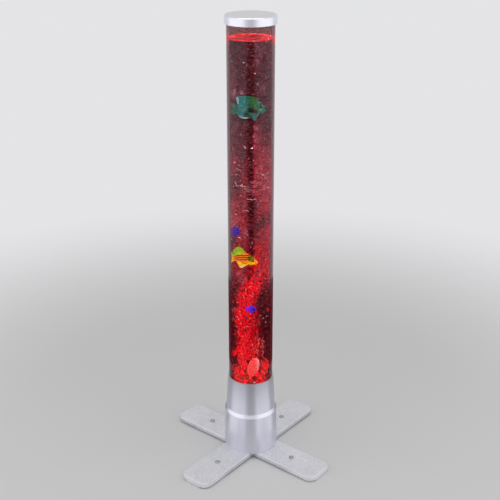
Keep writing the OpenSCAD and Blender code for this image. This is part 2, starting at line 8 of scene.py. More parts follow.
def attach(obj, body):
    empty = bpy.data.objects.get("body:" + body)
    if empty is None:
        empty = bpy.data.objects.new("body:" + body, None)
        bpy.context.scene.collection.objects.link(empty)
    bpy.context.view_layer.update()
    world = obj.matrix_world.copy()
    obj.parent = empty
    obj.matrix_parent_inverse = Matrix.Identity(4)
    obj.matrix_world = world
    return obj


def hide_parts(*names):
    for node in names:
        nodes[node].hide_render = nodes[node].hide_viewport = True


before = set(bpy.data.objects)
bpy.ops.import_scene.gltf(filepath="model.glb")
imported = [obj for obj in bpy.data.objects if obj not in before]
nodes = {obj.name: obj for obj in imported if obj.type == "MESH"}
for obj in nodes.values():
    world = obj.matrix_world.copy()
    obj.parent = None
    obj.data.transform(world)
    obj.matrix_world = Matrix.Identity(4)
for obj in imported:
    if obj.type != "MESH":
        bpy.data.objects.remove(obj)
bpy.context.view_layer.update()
scene = bpy.context.scene
mm = 0.001
faceTurn = math.radians(-6)  # fish, balls and top stones show their sides to the camera


# Shader nodes, written as plain expressions

class Wire:
    def __init__(self, finish, socket):
        self.finish = finish
        self.socket = socket

    def maths(self, operation, other, swap=False):
        first, second = (other, self) if swap else (self, other)
        return self.finish.add("Math", {"operation": operation}, {0: first, 1: second})

    def __add__(self, other):
        return self.maths("ADD", other)

    def __radd__(self, other):
        return self.maths("ADD", other, swap=True)

    def __sub__(self, other):
        return self.maths("SUBTRACT", other)

    def __rsub__(self, other):
        return self.maths("SUBTRACT", other, swap=True)

    def __mul__(self, other):
        return self.maths("MULTIPLY", other)

    def __rmul__(self, other):
        return self.maths("MULTIPLY", other, swap=True)

    def __truediv__(self, other):
        return self.maths("DIVIDE", other)

    def __pow__(self, other):
        return self.maths("POWER", other)

    def __abs__(self):
        return self.finish.add("Math", {"operation": "ABSOLUTE"}, {0: self})


class Finish:
    def __init__(self, name, tree=None):
        if tree is None:
            self.material = bpy.data.materials.new(name)
            self.material.use_nodes = True
            tree = self.material.node_tree
        self.tree = tree
        self.tree.nodes.clear()

    def add(self, kind, settings=None, values=None, output=0):
        node = self.tree.nodes.new("ShaderNode" + kind)
        for key, value in (settings or {}).items():
            if key == "stops":
                stops = node.color_ramp.elements
                for place, colour in value[1:-1]:
                    stops.new(place).color = (*colour, 1)
                for end, (place, colour) in ((stops[0], value[0]), (stops[-1], value[-1])):
                    end.position = place
                    end.color = (*colour, 1)
            else:
                setattr(node, key, value)
        for key, value in (values or {}).items():
            if isinstance(value, Wire):
                self.tree.links.new(value.socket, node.inputs[key])
            else:
                node.inputs[key].default_value = value
        return Wire(self, node.outputs[output]) if len(node.outputs) else None

    def place(self):
        return self.add("TexCoord", output="Object")

    def local(self, centre, turn=faceTurn):
        # a fish's own place: millimetres from its centre, along it, across it and up
        return self.add("Mapping", {"vector_type": "TEXTURE"},
                        {"Vector": self.place(), "Location": centre, "Rotation": (0, 0, turn), "Scale": (mm, mm, mm)})

    def parts(self, vector):
        split = self.add("SeparateXYZ", {}, {0: vector}).socket.node
        return [Wire(self, out) for out in split.outputs]

    def alongAndUp(self, vector=None):
        # how far along the fishes' plane and how high, in millimetres
        split = self.parts(vector or self.local((0, 0, 0)))
        return split[0], split[2]

    def stretch(self, vector, scale):
        return self.add("Mapping", {}, {"Vector": vector, "Scale": scale})

    def noise(self, vector, scale, detail=2, roughness=0.5, distortion=0, output=0):
        if isinstance(scale, tuple):
            vector, scale = self.stretch(vector, scale), 1
        return self.add("TexNoise", {}, {"Vector": vector, "Scale": scale, "Detail": detail, "Roughness": roughness,
                                         "Distortion": distortion}, output)

    def cells(self, vector, scale, feature="F1"):
        return self.add("TexVoronoi", {"feature": feature}, {"Vector": vector, "Scale": scale}, "Distance")

    def ramp(self, value, stops):
        return self.add("ValToRGB", {"stops": stops}, {0: value})

    def mix(self, factor, first, second):
        first, second = (c if isinstance(c, Wire) else (*c, 1) for c in (first, second))
        return self.add("Mix", {"data_type": "RGBA"}, {0: factor, 6: first, 7: second}, output=2)

    def step(self, value, start, end, low=0, high=1):
        return self.add("MapRange", {"interpolation_type": "SMOOTHSTEP"},
                        {0: value, 1: start, 2: end, 3: low, 4: high})

    def patch(self, across, up, centre, size, soft=0.35):
        # an oval patch of paint with a soft edge
        reach = ((across - centre[0]) / size[0]) ** 2 + ((up - centre[1]) / size[1]) ** 2
        return self.step(reach, 1 + soft, 1 - soft)

    def upward(self):
        return self.parts(self.add("NewGeometry", output="Normal"))[2]

    def bump(self, height, distance, strength=1):
        return self.add("Bump", {}, {"Height": height, "Distance": distance, "Strength": strength})

    def surface(self, values):
        shader = self.add("BsdfPrincipled", {}, values)
        self.add("OutputMaterial", {}, {"Surface": shader})
        return self.material


def begun(name):
    finish = Finish(name)
    return finish, finish.place()


def linear(red, green, blue):
    # a screen colour, 0 to 255, as the light value that shaders use
    return tuple(c / 12.92 / 255 if c <= 10 else ((c / 255 + 0.055) / 1.055) ** 2.4 for c in (red, green, blue))


def layered(finish, base, patches):
    for mask, colour in patches:
        base = finish.mix(mask, base, colour)
    return base


def dress(material, *names):
    for name in names:
        for slot in nodes[name].material_slots:
            slot.material = material


# Steps that every modelled piece shares

def deselect():
    if bpy.context.mode != "OBJECT":
        bpy.ops.object.mode_set(mode="OBJECT")
    bpy.ops.object.select_all(action="DESELECT")


def pick(piece):
    deselect()
    piece.select_set(True)
    bpy.context.view_layer.objects.active = piece


def named(name):
    piece = bpy.context.object
    piece.name = name
    piece.data.name = name
    return piece


def primitive(name, kind, **settings):
    # one of the plain shapes that come ready made
    deselect()
    getattr(bpy.ops.mesh, "primitive_%s_add" % kind)(**settings)
    return named(name)


def bakePlace():
    bpy.ops.object.transform_apply(location=True, rotation=True, scale=True)


def settle(piece, centre=(0, 0, 0), turn=0):
    # brings the piece from millimetres to metres, puts it in place and moves that place into its mesh
    piece.location = centre
    piece.rotation_euler = (0, 0, turn)
    piece.scale = (mm, mm, mm)
    pick(piece)
    bakePlace()


def applyModifier(piece, kind, **settings):
    modifier = piece.modifiers.new(kind.title(), kind)
    for key, value in settings.items():
        setattr(modifier, key, value)
    pick(piece)
    bpy.ops.object.modifier_apply(modifier=modifier.name)


def joinAll(pieces, name):
    deselect()
    for piece in pieces:
        piece.select_set(True)
    bpy.context.view_layer.objects.active = pieces[0]
    bpy.ops.object.join()
    return named(name)


def outwards(piece, weld=None):
    pick(piece)
    bpy.ops.object.mode_set(mode="EDIT")
    bpy.ops.mesh.select_all(action="SELECT")
    if weld:
        bpy.ops.mesh.remove_doubles(threshold=weld)
    bpy.ops.mesh.normals_make_consistent(inside=False)
    bpy.ops.object.mode_set(mode="OBJECT")


def smooth(piece, angle=60):
    pick(piece)
    bpy.ops.object.shade_smooth_by_angle(angle=math.radians(angle))


def finishWith(piece, material, body="lamp"):
    piece.data.materials.clear()
    piece.data.materials.append(material)
    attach(piece, body)


def loft(name, rings, points=20):
    # rings: place along, lowest, highest, half width
    place, low, high, width = rings[0]
    piece = primitive(name, "circle", vertices=points, radius=1, fill_type="NGON", rotation=(0, math.pi / 2, 0))
    piece.location = (place, 0, (low + high) / 2)
    piece.scale = ((high - low) / 2, width, 1)
    bakePlace()
    bpy.ops.object.mode_set(mode="EDIT")
    bpy.ops.mesh.select_all(action="SELECT")
    for before, after in zip(rings, rings[1:]):
        lift = (after[1] + after[2] - before[1] - before[2]) / 2
        bpy.ops.mesh.extrude_region_move(TRANSFORM_OT_translate={"value": (after[0] - before[0], 0, lift)})
        bpy.ops.transform.resize(value=(1, after[3] / before[3], (after[2] - after[1]) / (before[2] - before[1])),
                                 center_override=(after[0], 0, (after[1] + after[2]) / 2))
    bpy.ops.object.mode_set(mode="OBJECT")
    outwards(piece)
    return piece


def ribbedFin(name, ribs, thickness, ripple=0.4):
    # ribs: root and tip of each rib, in order along the fin
    piece = primitive(name, "grid", x_subdivisions=len(ribs) - 1, y_subdivisions=6, size=2)
    for vertex in piece.data.vertices:
        rib = round((vertex.co.x + 1) / 2 * (len(ribs) - 1))
        out = (vertex.co.y + 1) / 2
        (rootX, rootZ), (tipX, tipZ) = ribs[rib]
        vertex.co = (rootX + (tipX - rootX) * out, ripple * out * (1 if rib % 2 else -1),
                     rootZ + (tipZ - rootZ) * out)
    applyModifier(piece, "SUBSURF", levels=1, render_levels=1)
    applyModifier(piece, "SOLIDIFY", thickness=thickness, offset=0)
    outwards(piece)
    return piece


def ball(name, centre, radius):
    piece = primitive(name, "uv_sphere", segments=16, ring_count=8, radius=radius, location=centre)
    bakePlace()
    return piece


# Camera, floor and light

photo = {"lens": 67.87, "shift": (-0.0014, -0.045), "distance": 1.912, "height": 1.3095, "tilt": 21.504}

studio = {
    "background": linear(228, 228, 230),
    "ambient": 0.42,
    "floorColour": (0.74, 0.74, 0.745),
    "floorFade": (0.55, 1.7),
    "sideBoxes": {"distance": 1.15, "azimuth": 66, "width": 1.9, "height": 1.9, "z": 0.97, "radiance": 0.54},
    "topBox": {"size": 1.8, "z": 2.7, "radiance": 1.14},
    "darkCard": {"halfAngle": math.radians(18), "near": 0.40, "far": 4.6, "grey": (0.05, 0.05, 0.052)},
    "darkRing": {"inner": 0.42, "outer": 0.98},
    "greyRing": {"inner": 0.15, "outer": 0.42, "grey": (0.60, 0.60, 0.61)},
    "paleCards": {"azimuth": 56, "halfAngle": math.radians(36), "near": 0.14, "far": 0.41, "radiance": 0.34},
}


def addCamera():
    data = bpy.data.cameras.new("photoCamera")
    camera = bpy.data.objects.new("photoCamera", data)
    scene.collection.objects.link(camera)
    data.lens = photo["lens"]
    data.shift_x, data.shift_y = photo["shift"]
    data.clip_start = 0.01
    distance = photo["distance"]
    camera.location = (distance * math.sin(faceTurn), -distance * math.cos(faceTurn), photo["height"])
    camera.rotation_euler = (math.radians(90 - photo["tilt"]), 0, faceTurn)
    scene.camera = camera


def addSoftbox(name, size, place, aim, radiance):
    data = bpy.data.lights.new(name, "AREA")
    data.shape = "RECTANGLE"
    data.size, data.size_y = size
    data.energy = radiance * math.pi * size[0] * size[1]
    light = bpy.data.objects.new(name, data)
    scene.collection.objects.link(light)
    light.location = place
    light.rotation_euler = (Vector(aim) - Vector(place)).to_track_quat("-Z", "Y").to_euler()
    light.visible_camera = False


def seenDirectly(finish):
    rays = finish.add("LightPath").socket.node.outputs
    seen = [Wire(finish, rays[name]) for name in ("Is Camera Ray", "Is Glossy Ray", "Is Transmission Ray")]
    return seen[0].maths("MAXIMUM", seen[1]).maths("MAXIMUM", seen[2])


def addWorld():
    world = bpy.data.worlds.new("studioWorld")
    world.use_nodes = True
    scene.world = world
    finish = Finish("studioWorld", world.node_tree)
    ambient = (studio["ambient"],) * 3
    colour = finish.mix(seenDirectly(finish), ambient, studio["background"])
    finish.add("OutputWorld", {}, {"Surface": finish.add("Background", {}, {"Color": colour, "Strength": 1.0})})


def addFloor():
    floor = primitive("studioFloor", "circle", vertices=128, radius=9, fill_type="NGON")
    finish, place = begun("studioFloor")
    x, y = finish.parts(place)[:2]
    grain = finish.noise(place, 60, 3)
    paper = finish.add("BsdfDiffuse", {}, {"Color": finish.mix(grain * 0.06, studio["floorColour"], (0.7, 0.7, 0.7))})
    glow = finish.add("Emission", {}, {"Color": (*studio["background"], 1), "Strength": 1.0})
    far = finish.step((x * x + y * y) ** 0.5, *studio["floorFade"])
    finish.add("OutputMaterial", {}, {"Surface": finish.add("MixShader", {}, {0: far, 1: paper, 2: glow})})
    floor.data.materials.append(finish.material)


def cardCloth(name, grey, radiance=0.0):
    finish = Finish(name)
    cloth = finish.noise(finish.place(), 300)
    colour = finish.mix(cloth * 0.2, grey, tuple(c * 0.5 for c in grey))
    return finish.surface({"Base Color": colour, "Roughness": 1.0, "Specular IOR Level": 0.0,
                           "Emission Color": colour, "Emission Strength": radiance})


def addCard(name, halfAngle, near, far, cloth, height, middle=0.0):
    # a card on the floor that only gloss sees: it shapes the streaks on the silver and the water
    piece = primitive(name, "grid", x_subdivisions=48, y_subdivisions=2, size=2)
    for vertex in piece.data.vertices:
        angle = faceTurn - math.pi / 2 + middle + vertex.co.x * halfAngle
        reach = near + (far - near) * (vertex.co.y + 1) / 2
        vertex.co = (reach * math.cos(angle), reach * math.sin(angle), height)
    piece.data.materials.append(cloth)
    for ray in ("camera", "diffuse", "shadow", "transmission"):
        setattr(piece, "visible_" + ray, False)


scene.view_settings.view_transform = "Standard"
addCamera()
addWorld()
addFloor()
card, ring, greyRing, pale = (studio[name] for name in ("darkCard", "darkRing", "greyRing", "paleCards"))
cloth = cardCloth("darkCloth", card["grey"])
addCard("darkCard", card["halfAngle"], card["near"], card["far"], cloth, 0.002)
addCard("darkRing", math.pi, ring["inner"], ring["outer"], cloth, 0.003)
addCard("greyRing", math.pi, greyRing["inner"], greyRing["outer"], cardCloth("greyCloth", greyRing["grey"]), 0.001)
for name, sign in (("paleLeft", -1), ("paleRight", 1)):
    addCard(name, pale["halfAngle"], pale["near"], pale["far"], cardCloth(name, (0.9, 0.9, 0.92), pale["radiance"]),
            0.002, sign * math.radians(pale["azimuth"]))
side = studio["sideBoxes"]
for name, sign in (("leftBox", -1), ("rightBox", 1)):
    angle = faceTurn - math.pi / 2 + sign * math.radians(side["azimuth"])
    place = (side["distance"] * math.cos(angle), side["distance"] * math.sin(angle), side["z"])
    addSoftbox(name, (side["width"], side["height"]), place, (0, 0, side["z"] - 0.1), side["radiance"])
top = studio["topBox"]
addSoftbox("topBox", (top["size"], top["size"]), (0, 0, top["z"]), (0, 0, 0), top["radiance"])
print("studio set up")


# Silver lacquer, on moulded plastic and on pressed board

# the top tone is painted shade: faces pointing up are painted greyer and a little darker
lacquer = {"base": (0.70, 0.70, 0.79), "flake": (0.80, 0.80, 0.89), "top": (0.66, 0.66, 0.67), "metal": 0.82,
           "gloss": (0.28, 0.36)}
boardLacquer = {"base": (0.56, 0.56, 0.60), "fleck": (0.86, 0.86, 0.90), "metal": 0.4, "gloss": (0.40, 0.52)}


def silverLacquer():
    finish, place = begun("silverLacquer")
    flakes = finish.noise(place, 1400, 2, 0.6)
    cloud = finish.noise(place, 22, 3)
    scuff = finish.noise(place, (40, 40, 400), 4, 0.6)
    peel = finish.noise(place, 240, 2)
    colour = finish.mix(flakes * 0.7 + cloud * 0.3, lacquer["base"], lacquer["flake"])
    # painted shade: faces that point up take the greyer, darker top tone
    colour = finish.mix(finish.step(finish.upward(), 0.8, 0.95), colour, lacquer["top"])
    low, high = lacquer["gloss"]
    return finish.surface({"Base Color": colour, "Metallic": lacquer["metal"],
                           "Roughness": finish.step(scuff * 0.5 + cloud * 0.5, 0.3, 0.7, low, high),
                           "Normal": finish.bump(peel, 0.00002, 0.25)})


def silverBoard():
    finish, place = begun("silverBoard")
    grain = finish.noise(place, 620, 3, 0.7)
    cloud = finish.noise(place, 14, 3)
    pits = finish.step(finish.cells(place, 420), 0.10, 0.02)
    flecks = finish.step(grain * 0.85 + cloud * 0.15, 0.36, 0.64)
    colour = finish.mix(flecks, boardLacquer["base"], boardLacquer["fleck"])
    low, high = boardLacquer["gloss"]
    return finish.surface({"Base Color": finish.mix(pits * 0.3, colour, (0.40, 0.40, 0.43)),
                           "Metallic": boardLacquer["metal"], "Roughness": finish.step(grain, 0.3, 0.7, low, high),
                           "Normal": finish.bump(grain - pits * 0.5, 0.00006, 0.5)})


dress(silverLacquer(), "upper_housing", "lower_housing", "tube_cap")
dress(silverBoard(), "upper_arm_bar", "lower_arm_bar")
print("silver finishes done")


# Plain finishes of the parts inside, underneath and behind

def mouldedFinish(name, colour, roughness, metal=0.0, grain=500, clear=1.0):
    finish, place = begun(name)
    speck = finish.noise(place, grain, 3, 0.6)
    cloud = finish.noise(place, grain / 25, 2)
    darker, lighter = (tuple(min(c * level, 1) for c in colour) for level in (0.85, 1.15))
    shade = finish.mix(cloud * 0.6 + speck * 0.4, darker, lighter)
    values = {"Base Color": shade, "Metallic": metal, "Normal": finish.bump(speck, 0.00003, 0.5),
              "Roughness": finish.step(cloud * 0.5 + speck * 0.5, 0.25, 0.75, roughness - 0.06, roughness + 0.06)}
    if clear < 1:
        values["Alpha"] = finish.step(cloud, 0.2, 0.8, clear - 0.05, clear + 0.05)
    return finish.surface(values)


def turnedSteel(name, dark, light):
    finish, place = begun(name)
    grain = finish.noise(finish.stretch(place, (1, 1, 6)), 700, 3)
    return finish.surface({"Base Color": finish.mix(grain, dark, light), "Metallic": 1.0,
                           "Roughness": finish.step(grain, 0.3, 0.7, 0.16, 0.26),
                           "Normal": finish.bump(grain, 0.00002, 0.3)})


def woundCopper():
    finish, place = begun("woundCopper")
    turns = finish.add("TexWave", {"bands_direction": "X"}, {"Vector": place, "Scale": 320, "Distortion": 0.4})
    return finish.surface({"Base Color": finish.mix(turns, (0.35, 0.13, 0.05), (0.78, 0.36, 0.16)), "Metallic": 0.8,
                           "Roughness": finish.step(turns, 0, 1, 0.45, 0.28),
                           "Normal": finish.bump(turns, 0.0003, 0.6)})


def greenBoard(name, mask, track):
    finish, place = begun(name)
    tracks = finish.step(finish.cells(place, 170, "DISTANCE_TO_EDGE"), 0.03, 0.06)
    weave = finish.noise(place, 1500)
    colour = finish.mix(tracks, track, finish.mix(weave, mask, tuple(c * 1.25 for c in mask)))
    return finish.surface({"Base Color": colour, "Roughness": finish.step(tracks, 0, 1, 0.32, 0.42),
                           "Normal": finish.bump(1 - tracks, 0.00003, 0.6)})


def litDiodes():
    finish, place = begun("litDiodes")
    core = finish.cells(place, 150)
    glow = finish.mix(finish.step(core, 0.1, 0.6), (1.0, 0.35, 0.25), (0.9, 0.03, 0.02))
    return finish.surface({"Base Color": (0.8, 0.1, 0.08, 1), "Roughness": 0.2, "Emission Color": glow,
                           "Emission Strength": 3.0})


plain = {
    # colour, roughness, what else differs, and the parts that wear it
    "blackRubber": ((0.03, 0.03, 0.033), 0.7, {"grain": 900},
                    ("tube_gasket", "nozzle_washer", "cable_gland", "pump_feet", "pump_diaphragm", "rubber_feet")),
    "darkPlastic": ((0.09, 0.095, 0.11), 0.5, {},
                    ("base_plate", "board_parts", "mode_switch", "pump_case", "pump_cover")),
    "whitePlastic": ((0.74, 0.73, 0.69), 0.42, {},
                     ("air_nozzle", "pump_bobbin", "valve_block", "check_valve", "switch_plunger", "bubble_head")),
    "clearHose": ((0.75, 0.8, 0.82), 0.2, {"grain": 200, "clear": 0.45}, ("lower_air_hose", "upper_air_hose")),
    "clearAcrylicFloor": ((0.8, 0.3, 0.32), 0.15, {"grain": 200, "clear": 0.3}, ("tube_floor",)),
    "coreLaminations": ((0.07, 0.07, 0.08), 0.45, {"grain": 700, "metal": 0.7}, ("pump_core", "pump_magnet")),
    "buttonGrey": ((0.55, 0.56, 0.58), 0.4, {}, ("mode_button",)),
    "leadSleeve": ((0.02, 0.02, 0.024), 0.55, {"grain": 1100}, ("led_lead", "pump_lead")),
}
for name, (colour, roughness, more, parts) in plain.items():
    dress(mouldedFinish(name, colour, roughness, **more), *parts)
dress(turnedSteel("platedDomes", (0.26, 0.26, 0.28), (0.36, 0.36, 0.38)), "arm_screws")
dress(turnedSteel("zincSteel", (0.55, 0.56, 0.58), (0.70, 0.71, 0.73)), "base_screws", "collar_screws",
      "led_board_screws", "nozzle_nut", "pump_pivot_pin", "pump_arm")
dress(woundCopper(), "pump_winding")
dress(greenBoard("controlBoardGreen", (0.015, 0.09, 0.045), (0.05, 0.2, 0.1)), "control_board")
dress(greenBoard("lightBoardWhite", (0.6, 0.6, 0.58), (0.7, 0.68, 0.5)), "led_board")
dress(litDiodes(), "leds")
print("inside parts finished")


# The tube, its water and what glows in it

# The water's colours: a near-black, nearly opaque body as painted darkness, a red painted glow (faint, to the left
# and right, low), a greyish pink painted sheen in ripples and on the sides, and pale painted glints
water = {
    "radius": 46.95, "bottom": 158.3, "top": 968,
    "paintedDarkness": (0.006, 0.0012, 0.0018), "sheenStreak": linear(112, 70, 82), "darkCover": 0.88, "gloss": (0.07, 0.14),
    "faint": linear(74, 2, 8), "leftRed": linear(158, 6, 24), "rightRed": linear(176, 8, 32),
    "low": linear(80, 6, 12),
    "sideSheen": linear(66, 48, 58), "pale": linear(176, 110, 122), "wallShare": 0.2,
}
punch = 1 / (1 - water["darkCover"])  # how much brighter a thing in the water is lit, to show as written through it

# colours painted on the tube's wall: a clear tone, and where the wall is seen edge-on the water's painted glow and
# sheen, the surface's painted red glow near the water top, and a pale painted reflection at the very edge
wall = {"clear": linear(60, 20, 30), "upper": linear(126, 76, 86), "lower": linear(118, 30, 42),
        "surface": linear(224, 14, 34), "rim": linear(190, 160, 176)}


def tubeAcrylic():
    finish, place = begun("tubeAcrylic")
    graze = finish.add("LayerWeight", {}, {"Blend": 0.5}, output="Facing")
    smear = finish.noise(place, (30, 30, 6), 3)
    z = finish.alongAndUp()[1]
    filled = finish.step(graze, 0.54, 0.68)  # the wall bends the water's colour out to its edge
    # painted light: at the edge the wall shows the water's glow and sheen, and the surface's red glow near the water
    # top
    tint = finish.mix(finish.step(z, 460, 380), wall["upper"], wall["lower"])
    tint = finish.mix(finish.step(abs(z - water["top"]), 13, 6), tint, wall["surface"])
    colour = finish.mix(filled, wall["clear"], tint)
    # painted reflection: a pale line where the wall is seen edge-on
    return finish.surface({"Base Color": finish.mix(finish.step(graze, 0.88, 0.99) * 0.5, colour, wall["rim"]),
                           "Alpha": 0.02 + filled * 0.88 + smear * 0.02, "Roughness": 0.06, "Specular IOR Level": 0.3,
                           "Normal": finish.bump(smear, 0.0004, 0.15)})


def drifts(finish, place):
    # wide clouds and fine ripples, used by everything that glows in the water
    return finish.noise(place, (22, 22, 13), 4, 0.6), finish.noise(place, (90, 90, 160), 3, 0.6)


def waterGlow(finish, x, z, cloud, fine):
    # painted light held by the water: a red glow, faint above and stronger to the right, with painted shade in dark
    # drifts and a painted dark stripe up the middle
    wander = x + (cloud - 0.5) * 30
    glow = layered(finish, water["faint"], [
        (finish.step(wander, 2, -16) * finish.step(z, 790, 680) * finish.step(cloud, 0.36, 0.52), water["leftRed"]),
        (finish.step(wander, 2, 12) * finish.step(z, 830, 700) * finish.step(cloud, 0.28, 0.5), water["rightRed"]),
        (finish.step(z, 470, 400), water["low"]),
    ])
    # painted shade: dark drifts, and a dark stripe up the middle of the upper water
    drift = finish.step(cloud * 0.6 + fine * 0.4, 0.58, 0.36) * 0.8
    middle = finish.step(abs(wander - x + x * 2.5), 22, 6) * finish.step(z, 520, 600) * 0.45
    return layered(finish, glow, [(drift, (0.0, 0.0, 0.0)), (middle, (0.0, 0.0, 0.0))])


def paintedDarkWater():
    finish, place = begun("paintedDarkWater")
    x, z = finish.alongAndUp()
    ripple = finish.noise(place, (110, 110, 230), 4, 0.65, 0.8)
    glow = waterGlow(finish, x, z, *drifts(finish, place))
    # painted sheen: greyish pink ripples, weaker low down
    sheenStreaks = finish.step(ripple, 0.46, 0.64) * finish.step(z, 300, 520, 0.3, 1)
    low, high = water["gloss"]
    # painted darkness: near-black base, nearly opaque; the emission is painted glow
    return finish.surface({"Base Color": finish.mix(sheenStreaks * 0.5, water["paintedDarkness"], water["sheenStreak"]),
                           "Emission Color": glow, "Emission Strength": water["wallShare"], "Alpha": water["darkCover"],
                           "Roughness": finish.step(ripple, 0.3, 0.7, low, high), "Specular IOR Level": 0.2,
                           "Normal": finish.bump(ripple, 0.0008, 0.5)})


def addWater():
    height = (water["top"] - water["bottom"]) * mm
    piece = primitive("water", "cylinder", vertices=128, radius=water["radius"] * mm, depth=height,
                      location=(0, 0, water["bottom"] * mm + height / 2))
    bakePlace()
    finishWith(piece, paintedDarkWater())
    smooth(piece)


dress(tubeAcrylic(), "acrylic_tube")
addWater()
print("tube and water done")


# Painted light for what is in the water: its written colour glows at a given strength, with painted shade that is
# lighter on top

def shaded(finish, colour, level=0.94, light=0.28):
    return finish.add("VectorMath", {"operation": "SCALE"}, {0: colour, "Scale": level + finish.upward() * light})


def paintedGlow(finish, colour, strength=punch, roughness=0.4):
    material = finish.surface({"Base Color": colour, "Roughness": roughness, "Emission Color": shaded(finish, colour),
                               "Emission Strength": strength})
    material.cycles.emission_sampling = "NONE"
    return material


# Teal fish

tealFish = {
    "centre": (0, 0, 0.819),
    "body": [(-27.5, -3, 7, 1.2), (-24, -7, 13, 2.6), (-17, -11.5, 19, 4.6), (-8, -14, 23, 6.4), (3, -14.5, 24, 7),
             (13, -13, 21.5, 6.4), (21, -10, 16, 5), (26.5, -7, 8.5, 3.2), (29.5, -5, 3.2, 2), (33.5, -4, 0.6, 1.2),
             (37, -2.8, -0.8, 0.6)],
    "tail": [((-22, 5.5), (-34, 13.5)), ((-22, 5), (-44, 16.5)), ((-22, 4), (-42, 11)), ((-22, 3), (-40.5, 6)),
             ((-22, 2), (-39.5, -1)), ((-22, 1), (-43, -7.5)), ((-22, 0), (-36, -12)), ((-22, -0.5), (-30, -8))],
    "backFin": [((-26, 9), (-31.5, 27)), ((-21, 12), (-24, 29)), ((-16, 15), (-18, 29.6)), ((-10, 17), (-12, 29.8)),
                ((-4, 18), (-5, 29.6)), ((2, 19), (2, 28.8)), ((8, 19), (9, 27)), ((14, 17), (15, 24.5))],
    "rearFin": [((-24, -5), (-29.5, -7.5)), ((-21, -6), (-24, -15.5)), ((-16, -8), (-19, -17.5)),
                ((-11, -9), (-14, -19)), ((-6, -10), (-9.5, -19.2)), ((-2, -11), (-5, -19)), ((1, -12), (0, -13))],
    "bellyFin": [((2, -12), (3, -18.5)), ((5, -12), (5.5, -21.5)), ((8, -12), (8.5, -24)), ((11, -12), (12.5, -19)),
                 ((14, -11), (16, -11.5))],
    "eye": (22, 4.4, 1.2, 1.9),
}

yellowFish = {
    "centre": (0, 0, 0.485),
    "body": [(-38, -6, 7.5, 1.2), (-33, -8.5, 10.5, 3), (-26, -12, 13.5, 5), (-17, -15.5, 13, 6.6),
             (-7, -17.5, 9.5, 7), (2, -18, 4.5, 6.4), (9, -17, -2, 5), (13.5, -15.5, -7.5, 3),
             (15.5, -13.5, -10.5, 1)],
    "tail": [((-32, 4), (-40, 12)), ((-32, 3.5), (-45, 15)), ((-32, 2.5), (-44.5, 9)), ((-32, 1.5), (-44, 4)),
             ((-32, 0), (-43.5, -3)), ((-32, -1.5), (-44.5, -8)), ((-32, -3), (-45, -13)), ((-32, -4), (-39, -10))],
    "backFin": [((-32, 6), (-40.5, 15.5)), ((-29, 8), (-35, 22.5)), ((-26, 9), (-28.5, 26.5)),
                ((-22, 9.5), (-23, 25.5)), ((-18, 9.5), (-18.5, 21.5)), ((-14, 9), (-14, 17)), ((-10, 8), (-9, 9))],
    "rearFin": [((-31, -8), (-31, -10)), ((-28, -9), (-27, -19)), ((-25, -10), (-22, -26.5)),
                ((-21, -12), (-18, -24)), ((-17, -13), (-13, -21.5)),
                ((-12, -14.5), (-9, -18.5)), ((-8, -15.5), (-5, -16.8))],
    "eye": (5, 5.2, -7, 1.7),
}

purpleFish = {
    "centre": (0, 0, 0.358),
    "body": [(-6.5, -2, 2.5, 0.8), (-4, -4, 4.5, 2), (1, -6, 6.5, 3.2), (6, -6, 6.5, 3.4), (10.5, -4, 4.5, 2.4),
             (13.5, -1.2, 1.6, 0.8)],
    "tail": [((-5.5, 2), (-9.5, 6.6)), ((-5.5, 1.6), (-13.5, 9.5)), ((-5.5, 1), (-12.6, 5)), ((-5.5, 0.3), (-12, 2)),
             ((-5.5, -0.6), (-12.3, -1)), ((-5.5, -1.2), (-12.5, -4)), ((-5.5, -2), (-9.5, -5.5))],
    "backFin": [((-4, 3), (-4.5, 8)), ((-1, 4), (-1.5, 9.6)), ((2, 5), (2, 10.3)), ((5, 5), (5, 7.8)),
                ((7, 4.5), (7.5, 5.2))],
    "rearFin": [((-3, -3), (-3.2, -5)), ((-1, -4), (-2, -9)), ((1.5, -5), (1, -10.2)), ((4, -5), (3.4, -10.6)),
                ((6, -4.5), (7, -5.4))],
    "eye": (9.5, 2.0, 1.2, 0.9),
}


def addFish(name, fish, paint, body, finThickness=1.1):
    shape = loft(name, fish["body"])
    applyModifier(shape, "SUBSURF", levels=2, render_levels=2)
    pieces = [shape]
    for fin in ("tail", "backFin", "rearFin", "bellyFin"):
        if fin in fish:
            pieces.append(ribbedFin(name + "." + fin, fish[fin], finThickness))
    eyeX, eyeY, eyeZ, eyeR = fish["eye"]
    pieces += [ball(name + ".eye", (eyeX, way * eyeY, eyeZ), eyeR) for way in (-1, 1)]
    piece = joinAll(pieces, name)
    settle(piece, fish["centre"], faceTurn)
    finishWith(piece, paint, body)
    smooth(piece, 50)
    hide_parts(name.replace("Fish", "_fish"))


def fishPaint(name, fish, scale, detail, reach):
    # the paint, the place in the fish, and the same place pushed about so that marks get uneven edges
    finish = Finish(name)
    local = finish.local(fish["centre"])
    x, z = finish.alongAndUp(local)
    wander = (finish.noise(local, scale, detail) - 0.5) * reach
    return finish, local, x, z, x + wander, z - wander


